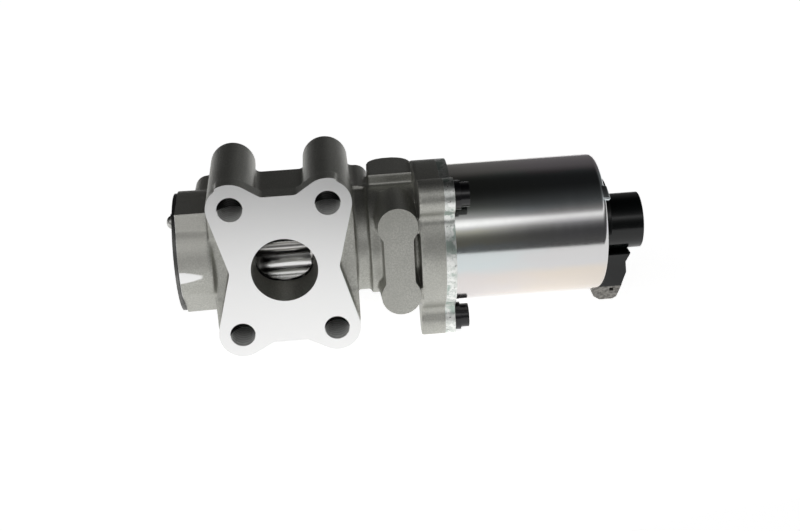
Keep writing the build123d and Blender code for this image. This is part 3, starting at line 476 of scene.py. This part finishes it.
can = Finish("can_steel", Metallic=1.0)
x, y, z = can.axes()
cloud = can.noise(9.0, detail=4.0, stretch=(2.0, 1.0, 1.0))
height = z + (cloud - 0.5) * 6.0
at_far_end = (x + (cloud - 0.5) * 40.0).rise(66.0, 104.0)
film = (0.6, 0.6, 0.6)
for begins, full, near_plate, at_end in FILM:
    film = can.blend(height.rise(begins, full), film, can.blend(at_far_end, near_plate, at_end))
can.feed("Base Color", film)
scuff = can.noise(2.2, detail=4.0, stretch=(1.0, 5.0, 5.0), roughness=0.65)
can.feed("Roughness", scuff.spread(0.10, 0.19))
can.bump(can.noise(5.0, detail=2.0), 0.02, 0.25)
print("can steel:", len(can.tree.nodes), "nodes")

# %% [markdown]
# ## Turned metal
# Seats, bush, bearings and housings come from the lathe, which leaves fine rings around the axis. The noise
# is stretched sixty times across the axis, so that it turns into rings. One function makes them all, each
# with its own metal and shine.

# %% Turned metal
TURNED = (                      # name, colour and roughness
    ("stainless_steel", (0.60, 0.59, 0.575), 0.20),
    ("seat_steel", (0.42, 0.41, 0.39), 0.34),
    ("bush_bronze", (0.60, 0.42, 0.24), 0.40),
    ("rotor_brass", (0.80, 0.62, 0.32), 0.28),
    ("bearing_steel", (0.68, 0.68, 0.69), 0.12),
    ("housing_aluminium", (0.70, 0.70, 0.70), 0.34),
    ("terminal_brass", (0.74, 0.72, 0.66), 0.25),
)


def turned(name, color, roughness, ring_mm=0.25, depth_mm=0.004):
    """Metal from the lathe: fine rings around X and a little variation in shine."""
    made = Finish(name, Metallic=1.0, Base_Color=color)
    made.feed("Roughness", made.noise(6.0).spread(roughness - 0.04, roughness + 0.06))
    made.bump(made.noise(ring_mm, detail=1.0, stretch=(1.0, 60.0, 60.0)), depth_mm, 0.5)
    return made


finishes = {"cast_aluminium": cast, "can_steel": can}
for name, *look in TURNED:
    finishes[name] = turned(name, *look)
print("turned metals:", len(TURNED))

# %% [markdown]
# ## Plated and blackened steel
# Plating and oxide leave two tones in soft clouds, duller where they are darker. The adapter plate's zinc has
# aged: pale patches, greenish stains and dark specks lie over each other, the finest on top.

# %% Plated and blackened steel
PLATED = (                      # name, pale tone, dark tone, roughness and size of the clouds in mm
    ("spring_steel", (0.40, 0.40, 0.42), (0.28, 0.28, 0.29), 0.28, 4.0),
    ("small_screw_steel", (0.62, 0.62, 0.60), (0.40, 0.40, 0.38), 0.30, 1.5),
    ("adapter_steel", (0.82, 0.835, 0.81), (0.60, 0.65, 0.61), 0.34, 2.6),
    ("stator_steel", (0.55, 0.55, 0.54), (0.42, 0.42, 0.42), 0.38, 4.0),
    ("cover_steel", (0.20, 0.20, 0.195), (0.12, 0.12, 0.118), 0.42, 6.0),
    ("gasket", (0.15, 0.15, 0.15), (0.10, 0.10, 0.10), 0.55, 4.0),
)


def plated(name, pale, dark, roughness, cloud_mm):
    """Zinc or oxide on steel: two tones in soft clouds, duller where it is darker."""
    made = Finish(name, Metallic=1.0)
    cloud = made.noise(cloud_mm, detail=4.0, roughness=0.6).rise(0.32, 0.68)
    made.feed("Base Color", made.blend(cloud, dark, pale))
    made.feed("Roughness", cloud.spread(roughness + 0.10, roughness))
    made.soften(0.12)
    return made


for name, *look in PLATED:
    finishes[name] = plated(name, *look)

zinc = finishes["adapter_steel"]
patch = zinc.noise(1.6, detail=3.0).rise(0.35, 0.65)
stain = zinc.noise(5.0, detail=3.0).rise(0.50, 0.62)
speck = zinc.noise(0.9, detail=3.0, roughness=0.7).rise(0.60, 0.68)
aged = zinc.blend(patch, (0.62, 0.65, 0.62), (0.84, 0.85, 0.83))
aged = zinc.blend(stain, aged, (0.40, 0.47, 0.43))
zinc.feed("Base Color", zinc.blend(speck, aged, (0.22, 0.23, 0.22)))
print("plated metals:", len(PLATED))

# %% [markdown]
# ## Plastic, rubber, paint and winding
# Moulded and painted pieces have one even colour, a fine grain and a slightly uneven shine. The foot of the
# connector's wing is a mottled grey below a given height. The copper winding shows its turns of wire as a
# fine wave along the axis.

# %% Plastic, rubber, paint and winding
MOULD_BLACK = (0.003, 0.004, 0.004)
FOOT_Z = (-24.3, -24.9)         # the grey foot begins at the first height and is full at the second
WIRE_MM = 0.35
MATT = (                        # name, colour and roughness
    ("o_ring_rubber", (0.015, 0.015, 0.015), 0.45),
    ("seal_polymer", (0.03, 0.028, 0.025), 0.50),
    ("rotor_magnet", (0.035, 0.035, 0.04), 0.55),
    ("bobbin_plastic", (0.62, 0.59, 0.50), 0.45),
    ("board_plastic", (0.03, 0.12, 0.05), 0.35),
)


def matt(name, color, roughness, round_mm=0.0, gloss=0.5):
    """Moulded or painted surface, with either rounded edges or a fine grain."""
    made = Finish(name, Base_Color=color, Specular_IOR_Level=gloss)
    made.feed("Roughness", made.noise(5.0, detail=3.0).spread(roughness - 0.05, roughness + 0.07))
    if round_mm:
        made.soften(round_mm)
    else:
        made.bump(made.noise(0.3, detail=2.0), 0.01, 0.5)
    return made


for name, *look in MATT:
    finishes[name] = matt(name, *look)
finishes["black_screw_steel"] = matt("black_screw_steel", (0.004, 0.004, 0.005), 0.20, round_mm=0.2)

black = matt("black_plastic", MOULD_BLACK, 0.17, round_mm=0.35, gloss=0.4)
z = black.axes()[2]
# Below a given height, the wing's foot is a mottled grey instead of black.
foot_mottle = black.noise(1.3, detail=3.0).rise(0.35, 0.65)
grey_foot = black.blend(foot_mottle, (0.09, 0.085, 0.075), (0.24, 0.23, 0.21))
black.feed("Base Color", black.blend(z.rise(*FOOT_Z), MOULD_BLACK, grey_foot))
finishes["black_plastic"] = black

winding = Finish("copper_winding", Metallic=1.0, Base_Color=(0.75, 0.30, 0.12), Roughness=0.28)
x = winding.axes()[0]
winding.bump(x.wave(WIRE_MM), 0.08, 0.8)
finishes["copper_winding"] = winding
print("finishes:", len(finishes))

# %% [markdown]
# ## Dress the solids
# Every solid belongs to a material slot in the model's record. A loop gives each one the finish of its slot,
# so nothing inside the motor is forgotten when the valve is taken apart.

# %% Dress the solids
for entry in frame["record"]["subparts"]:
    solid = frame["nodes"][entry["node"]]
    solid.data.materials.clear()
    solid.data.materials.append(finishes[entry["material_slot"]].material)

# %% [markdown]
# ## Building blocks
# New meshes are made with bmesh and kept closed, so that they can be cut or added to. Each block is a small
# function that takes millimetres and returns a bmesh in metres. Three helpers turn a block about the valve's
# axis, find a spot around it, and copy a solid.

# %% Building blocks
def lathe(points, axis="X", steps=96, spot=(AXIS_Y, 0)):
    """Closed solid turned from (along, radius) points about X through a (y, z) spot, or about Y."""
    shape = bmesh.new()
    if axis == "X":
        centre, direction = Vector((0, *spot)) * MM, Vector((1, 0, 0))
        outline = [Vector((a, spot[0], spot[1] + r)) * MM for a, r in points]
    else:
        centre, direction = Vector((0, 0, 0)), Vector((0, 1, 0))
        outline = [Vector((0, a, r)) * MM for a, r in points]
    ring = [shape.verts.new(corner) for corner in outline]
    edges = [shape.edges.new((ring[i], ring[(i + 1) % len(ring)])) for i in range(len(ring))]
    bmesh.ops.spin(
        shape, geom=ring + edges, cent=centre, axis=direction, angle=2 * math.pi, steps=steps, use_merge=True
    )
    bmesh.ops.remove_doubles(shape, verts=shape.verts, dist=1e-7)
    bmesh.ops.recalc_face_normals(shape, faces=shape.faces)
    return shape


def rod(start, end, radius, steps=48):
    """Solid round bar between two points."""
    a, b = Vector(start) * MM, Vector(end) * MM
    shape = bmesh.new()
    bmesh.ops.create_cone(
        shape, cap_ends=True, segments=steps, radius1=radius * MM, radius2=radius * MM, depth=(b - a).length
    )
    turn = (b - a).to_track_quat("Z", "Y").to_matrix().to_4x4()
    bmesh.ops.transform(shape, matrix=Matrix.Translation((a + b) / 2) @ turn, verts=shape.verts)
    return shape


def block(low, high):
    """Solid box between two corners."""
    a, b = Vector(low) * MM, Vector(high) * MM
    shape = bmesh.new()
    bmesh.ops.create_cube(shape, size=1.0)
    bmesh.ops.scale(shape, vec=b - a, verts=shape.verts)
    bmesh.ops.translate(shape, vec=(a + b) / 2, verts=shape.verts)
    return shape


def prism(outline, left, right):
    """Solid bar along X with the given (y, z) outline."""
    shape = bmesh.new()
    end = shape.faces.new([shape.verts.new(Vector((left, y, z)) * MM) for y, z in outline])
    grown = bmesh.ops.extrude_face_region(shape, geom=[end], use_keep_orig=True)
    moved = [part for part in grown["geom"] if isinstance(part, bmesh.types.BMVert)]
    bmesh.ops.translate(shape, vec=Vector((right - left, 0, 0)) * MM, verts=moved)
    bmesh.ops.recalc_face_normals(shape, faces=shape.faces)
    return shape


def turned_about_axis(shape, degrees, offset=(0, 0, 0)):
    """The same shape, moved by the offset and then turned about X at the valve's axis."""
    to_axis = Matrix.Translation(Vector((0, AXIS_Y, 0)) * MM)
    turn = Matrix.Rotation(math.radians(degrees), 4, "X")
    shift = Matrix.Translation(Vector(offset) * MM)
    bmesh.ops.transform(shape, matrix=to_axis @ turn @ shift, verts=shape.verts)
    return shape


def around_axis(radius, degrees):
    """The (y, z) spot at this radius and angle around the valve's axis."""
    angle = math.radians(degrees)
    return AXIS_Y + radius * math.cos(angle), radius * math.sin(angle)


def merged_copy(node):
    """Copy of a solid as a bmesh, with its loose triangles joined."""
    shape = bmesh.new()
    shape.from_mesh(frame["nodes"][node].data)
    bmesh.ops.remove_doubles(shape, verts=shape.verts, dist=2e-6)
    return shape


print("blocks ready")

# %% [markdown]
# ## From blocks to pieces
# A piece is one mesh object, made of one or more closed solids: the drills stand apart, and the plugs lie in
# the casting until a remesh melts them into it. Cuts are Boolean modifiers, worked out once all of them are
# in place; then the raw piece and its tools are thrown away.

# %% From blocks to pieces
def piece(name, *shapes):
    """Mesh object from one or more bmesh solids."""
    mesh = bpy.data.meshes.new(name)
    whole = bmesh.new()
    for shape in shapes:
        shape.to_mesh(mesh)
        whole.from_mesh(mesh)
        shape.free()
    whole.to_mesh(mesh)
    whole.free()
    made = bpy.data.objects.new(name, mesh)
    bpy.context.scene.collection.objects.link(made)
    return made


def cut_away(target, tools):
    """Take each tool away from the target."""
    for tool in tools:
        cut = target.modifiers.new(tool.name, "BOOLEAN")
        cut.operation = "DIFFERENCE"
        cut.solver = "MANIFOLD"
        cut.object = tool


def worked_out(name, raw, tools):
    """New piece with the raw one's modifiers applied; the raw one and the tools are removed."""
    graph = bpy.context.evaluated_depsgraph_get()
    mesh = bpy.data.meshes.new_from_object(raw.evaluated_get(graph))
    for unwanted in (raw, *tools):
        bpy.data.objects.remove(unwanted)
    made = bpy.data.objects.new(name, mesh)
    bpy.context.scene.collection.objects.link(made)
    return made


def surface(made, finish, crease):
    """Finish a piece: smooth shading, with an edge kept sharp where it bends by more than the crease."""
    made.data.materials.clear()
    made.data.materials.append(finish.material)
    made.data.shade_smooth()
    made.data.set_sharp_from_angle(angle=math.radians(crease))
    print(made.name, "has", len(made.data.polygons), "faces")


print("pieces ready")

# %% [markdown]
# ## Casting, as poured
# A real casting leaves its mould with round edges everywhere and with extra metal on the faces to be milled.
# The solid is copied, its milled faces are pushed out by that allowance, and its bores are plugged; where a
# plug stands out, the mills take it off later. Two forms are added: the squarish corner of the drum that
# holds a cover screw, and the webs behind the flange's waist.

# %% Casting, as poured
ALLOWANCE = 1.5
LIGHT_CUT = 0.45                # the face towards the adapter plate takes a thinner cut
NEAR = 0.02                     # a corner this near to a milled plane lies on it
NECK_X = 30.0                   # right of it the front is the pad's face
PLUG_OUT = 1.4
EAR_CIRCLE_R, EAR_ANGLES = 32.5, (15.0, 135.0, 255.0)
WEB_INNER_X = 17.0
SCREW_CORNER = ((8.0, 14.4), (10.3, 20.4), (25.5, 22.4), (25.5, 14.4))      # (y, z)
WAIST_WEB = ((5.2, -13.0), (5.2, 13.0), (20.0, 13.0), (20.0, -13.0))        # (y, z)

raw = merged_copy("valve_body")
for vertex in raw.verts:
    x, y = vertex.co.x / MM, vertex.co.y / MM
    if abs(y - (0.0 if x < NECK_X else PAD_FACE_Y)) < NEAR:
        vertex.co.y -= ALLOWANCE * MM
    if abs(y - REAR_Y) < NEAR:
        vertex.co.y += ALLOWANCE * MM
    if abs(x - BODY_LEFT_X) < NEAR:
        vertex.co.x -= ALLOWANCE * MM
    if abs(x - BODY_RIGHT_X) < NEAR:
        vertex.co.x += LIGHT_CUT * MM

front_end, rear_end, right_end = -PLUG_OUT, REAR_Y + PLUG_OUT, BODY_RIGHT_X + PLUG_OUT
bolt_spots = [(sx * BOLT_X, sz * BOLT_Z) for sx in (-1, 1) for sz in (-1, 1)]
ear_spots = [around_axis(EAR_CIRCLE_R, angle) for angle in EAR_ANGLES]
plugs = [
    rod((BODY_LEFT_X - PLUG_OUT, AXIS_Y, 0), (29.5, AXIS_Y, 0), 16.2),      # valve chamber
    rod((29.0, AXIS_Y, 0), (60.0, AXIS_Y, 0), 8.6),                         # bush and seal
    rod((42.5, AXIS_Y, 0), (right_end, AXIS_Y, 0), 20.0),                   # spring chamber and groove
    rod((0, front_end, 0), (0, 30, 0), 12.8),                               # inlet
    block((-30, 20, -13), (30, rear_end, 13)),                              # both outlets
]
plugs += [rod((x, front_end, z), (x, rear_end, z), 5.0) for x, z in bolt_spots]
plugs += [rod((50.5, y, z), (right_end, y, z), 3.6) for y, z in ear_spots]
screw_corner = prism(SCREW_CORNER, BODY_LEFT_X - ALLOWANCE, DRUM_RIGHT_X)
waist_webs = [prism(WAIST_WEB, -WEB_X, -WEB_INNER_X), prism(WAIST_WEB, WEB_INNER_X, WEB_X)]
casting = piece("casting", raw, *plugs, screw_corner, *waist_webs)
print("raw casting:", len(casting.data.vertices), "corners")

# %% [markdown]
# ## Melted into one skin
# A voxel remesh melts the copy, the plugs and the added forms into one closed skin, and smoothing rounds
# every edge and inner corner by about a millimetre. Bevels would have to be set edge by edge and would fail
# where cast forms run into each other.

# %% Melted into one skin
VOXEL = 0.55

melt = casting.modifiers.new("melt", "REMESH")
melt.mode = "VOXEL"
melt.voxel_size = VOXEL * MM
ease = casting.modifiers.new("ease", "SMOOTH")
ease.factor = 0.5
ease.iterations = 2
print("voxel:", VOXEL, "mm")

# %% [markdown]
# ## Mills
# Now the machine shop's turn. Slabs mill the faces flat, each reaching well past the metal that it removes,
# so that only its working face touches the casting. One smaller slab is turned a little and mills the bright
# flat on the front of the drum.

# %% Mills
mills = [
    block((-60, -12, -60), (NECK_X, 0, 60)),                    # flange
    block((NECK_X + 0.1, -12, -60), (49, PAD_FACE_Y, 60)),      # pad
    block((-60, REAR_Y, -60), (49, 66, 60)),                    # rear face
    block((-52, -11, -59), (BODY_LEFT_X, 64, 59)),              # cover side
    block((BODY_RIGHT_X, -20, -59), (72, 70, 59)),              # motor side
    turned_about_axis(block((-50, -12, -12), (-27, 0, 12)), FLAT_TILT, offset=(0, -FLAT_R, 0)),
]
print("mills:", len(mills))

# %% [markdown]
# ## Bores, outlets and drills
# One turned solid bores the valve chamber from end to end, with its steps for the seats, the bush and the
# spring. Another bores the inlet, and a ring turns the groove of the seal. The outlets are long holes: a
# block and a rod at each end. Drills make the bolt holes and the holes for both kinds of screws.

# %% Bores, outlets and drills
CHAMBER_BORE = (                # (along X, radius)
    (-42, 0), (-42, CHAMBER_R), (-16, CHAMBER_R), (-16, 15.0), (-12, 15.0), (-12, 14.0), (12.5, 14.0),
    (12.5, 13.5), (16.5, 13.5), (16.5, 12.5), (29, 12.5), (29, 8), (30.6, 8), (30.6, 6), (43, 6), (43, 14.5),
    (62, 14.5), (62, 0),
)
INLET_BORE = ((-4, 0), (-4, 12.1), (5, 12.1), (13.5, 10.0), (21.5, 10.0), (21.5, 0))    # (along Y, radius)
SEAL_GROOVE = ((56.8, 17.4), (62, 17.4), (62, 19.6), (56.8, 19.6))                      # (along X, radius)
OUTLET_X, OUTLET_HALF = 23, 6
EAR_HOLE_R = 3.03
COVER_SCREW_R, COVER_CIRCLE_R, COVER_ANGLES = 1.53, 18.5, (302.0, 122.0)

bores = [lathe(CHAMBER_BORE), lathe(INLET_BORE, axis="Y"), lathe(SEAL_GROOVE)]
outlets = []
for x in (-OUTLET_X, OUTLET_X):
    outlets.append(block((x - OUTLET_HALF, AXIS_Y, -OUTLET_HALF), (x + OUTLET_HALF, 56, OUTLET_HALF)))
    outlets += [rod((x, AXIS_Y, z), (x, 56, z), OUTLET_HALF) for z in (-OUTLET_HALF, OUTLET_HALF)]
cover_spots = [around_axis(COVER_CIRCLE_R, angle) for angle in COVER_ANGLES]
drills = [rod((x, -6, z), (x, 57, z), BOLT_HOLE_R) for x, z in bolt_spots]
drills += [rod((51.5, y, z), (64, y, z), EAR_HOLE_R) for y, z in ear_spots]
drills += [rod((-44, y, z), (-30, y, z), COVER_SCREW_R, 24) for y, z in cover_spots]
print("bores:", len(bores), "outlet tools:", len(outlets), "drills:", len(drills))

# %% [markdown]
# ## Casting, as machined
# Each tool is a Boolean modifier after the smoothing, so the edges that it leaves come out as crisp as a
# cutter leaves them, between the soft edges of the cast skin.

# %% Casting, as machined
tools = [piece("mill", shape) for shape in mills]
tools += [piece("bore", shape) for shape in bores]
tools.append(piece("drills", *drills))
tools += [piece("outlet", shape) for shape in outlets]
cut_away(casting, tools)
body = worked_out("cast_body", casting, tools)
surface(body, cast, crease=32)
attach(body, "root")
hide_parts("valve_body")
for axis, letter in enumerate("XYZ"):
    reach = [vertex.co[axis] / MM for vertex in body.data.vertices]
    print(letter, round(min(reach), 2), round(max(reach), 2))

# %% [markdown]
# ## Drawn can, in shape
# Deep drawing leaves the can a wide soft corner at its closed end, and the press that closes it over the
# motor leaves one small staked tab on that corner. The corner is an arc of short steps, turned with the wall
# as one closed shell. The tab is a block that leans with the can's side, slants off towards the back, and has
# rounded edges.

# %% Drawn can, in shape
CORNER_R, CORNER_STEPS = 2.2, 10
WALL, WINDOW_R, INNER_CORNER = 1.2, 16.6, 3.0
TAB_ANGLE = 45.0                # degrees above the front
TAB_WIDTH, TAB_T, TAB_EDGE_R = 5.8, 2.2, 0.7
TAB_OUT, TAB_ROOT = 1.5, 1.6    # how far the tab reaches past the can's end, and back from it
TAB_SUNK, TAB_SLANT = 0.15, 0.8

corner = []
for i in range(CORNER_STEPS + 1):
    angle = math.radians(90) * i / CORNER_STEPS
    corner.append((CAN_END_X - CORNER_R * (1 - math.cos(angle)), CAN_R - CORNER_R * (1 - math.sin(angle))))
shell = lathe(
    (
        (CAN_END_X, WINDOW_R), *corner, (PLATE_X, CAN_R), (PLATE_X, CAN_R - WALL),
        (CAN_END_X - INNER_CORNER, CAN_R - WALL), (CAN_END_X - WALL, CAN_R - INNER_CORNER),
        (CAN_END_X - WALL, WINDOW_R),
    ),
    steps=192,
)

tab_top = CAN_R - TAB_SUNK
tab = block(
    (CAN_END_X - TAB_ROOT, -TAB_WIDTH / 2, tab_top - TAB_T), (CAN_END_X + TAB_OUT, TAB_WIDTH / 2, tab_top)
)
for vertex in tab.verts:
    if vertex.co.x > CAN_END_X * MM and vertex.co.y > 0:
        vertex.co.x -= TAB_SLANT * MM
bmesh.ops.bevel(
    tab, geom=tab.edges, offset=TAB_EDGE_R * MM, segments=4, profile=0.5, affect="EDGES", material=-1
)
turned_about_axis(tab, 90 - TAB_ANGLE)

drawn = piece("drawn_can", shell, tab)
surface(drawn, can, crease=40)
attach(drawn, "root")
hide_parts("motor_can")

# %% [markdown]
# ## Connector, as moulded
# The wing under the socket starts on a ledge below the round socket, with a bevel along each side. The
# solid's wing reaches higher, so a copy of it is cut back there, with a box that keeps clear of the socket's
# round wall and with two boxes turned by 45 degrees. The normals stored with the copy no longer fit it, so
# they are dropped.

# %% Connector, as moulded
SOCKET_R, SOCKET_GAP = 10.6, 0.02
LEDGE_LEFT_X, LEDGE_RIGHT_X = CAN_END_X + 0.3, 140.0
LEDGE_Y, LEDGE_Z = 16.9, -10.9  # front edge and height of the ledge
LEDGE_CUT_Y = 8.0               # the box that cuts it begins here, in front of the wing
BEVEL_HALF = 0.5

connector = piece("moulded_connector", merged_copy("connector_cap"))
stored_normals = connector.data.attributes.get("custom_normal")
if stored_normals:
    connector.data.attributes.remove(stored_normals)

keeper = piece(
    "keeper", rod((110, AXIS_Y, SHROUD_Z), (LEDGE_RIGHT_X, AXIS_Y, SHROUD_Z), SOCKET_R + SOCKET_GAP, 96)
)
ledge_cut = block((LEDGE_LEFT_X, LEDGE_CUT_Y, LEDGE_Z), (LEDGE_RIGHT_X, 2 * AXIS_Y - LEDGE_CUT_Y, 0))
ledge = piece("ledge", ledge_cut)
cut_away(ledge, [keeper])
bevels = []
for edge_y in (LEDGE_Y, 2 * AXIS_Y - LEDGE_Y):
    bar = block((LEDGE_LEFT_X, -BEVEL_HALF, -BEVEL_HALF), (LEDGE_RIGHT_X, BEVEL_HALF, BEVEL_HALF))
    slope = Matrix.Translation(Vector((0, edge_y, LEDGE_Z)) * MM) @ Matrix.Rotation(math.radians(45), 4, "X")
    bmesh.ops.transform(bar, matrix=slope, verts=bar.verts)
    bevels.append(piece("ledge_bevel", bar))
cut_away(connector, [ledge, *bevels])
connector = worked_out("moulded_connector", connector, [keeper, ledge, *bevels])
surface(connector, black, crease=32)
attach(connector, "root")
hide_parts("connector_cap")

# %% [markdown]
# ## Cover screws
# The end cover is held by two small screws, each with a domed head on a washer. One half outline, with the
# dome as an arc of short steps, is turned once for each screw.

# %% Cover screws
DOME_R, DOME_H, DOME_STEPS = 2.4, 1.75, 8
WASHER_R, WASHER_T = 3.1, 0.45
SHANK_R, SHANK_L = COVER_SCREW_R - 0.03, 8.0

seat_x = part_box("end_cover_screws")[0].x / MM + DOME_H + WASHER_T
profile = [
    (seat_x + SHANK_L, 0.0), (seat_x + SHANK_L, SHANK_R), (seat_x, SHANK_R), (seat_x, WASHER_R),
    (seat_x - WASHER_T, WASHER_R), (seat_x - WASHER_T, DOME_R),
]
for step in range(1, DOME_STEPS + 1):
    angle = math.radians(90) * step / DOME_STEPS
    profile.append((seat_x - WASHER_T - DOME_H * math.sin(angle), DOME_R * math.cos(angle)))
screws = piece("domed_cover_screws", *[lathe(profile, steps=40, spot=spot) for spot in cover_spots])
surface(screws, finishes["small_screw_steel"], crease=50)
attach(screws, "root")
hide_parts("end_cover_screws")

# %% [markdown]
# ## Return spring
# The return spring shortens as the stem moves left. Here a copy of it, with its loose triangles joined, takes
# the solid's place and rides with the root body.

# %% Return spring
coil_solid = frame["nodes"]["return_spring"]
coil_mesh = coil_solid.data.copy()
wire = merged_copy("return_spring")
wire.to_mesh(coil_mesh)
wire.free()
coil = bpy.data.objects.new("coil_spring", coil_mesh)
bpy.context.scene.collection.objects.link(coil)
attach(coil, "root")
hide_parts("return_spring")
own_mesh(coil)

# %% End
bpy.context.view_layer.update()
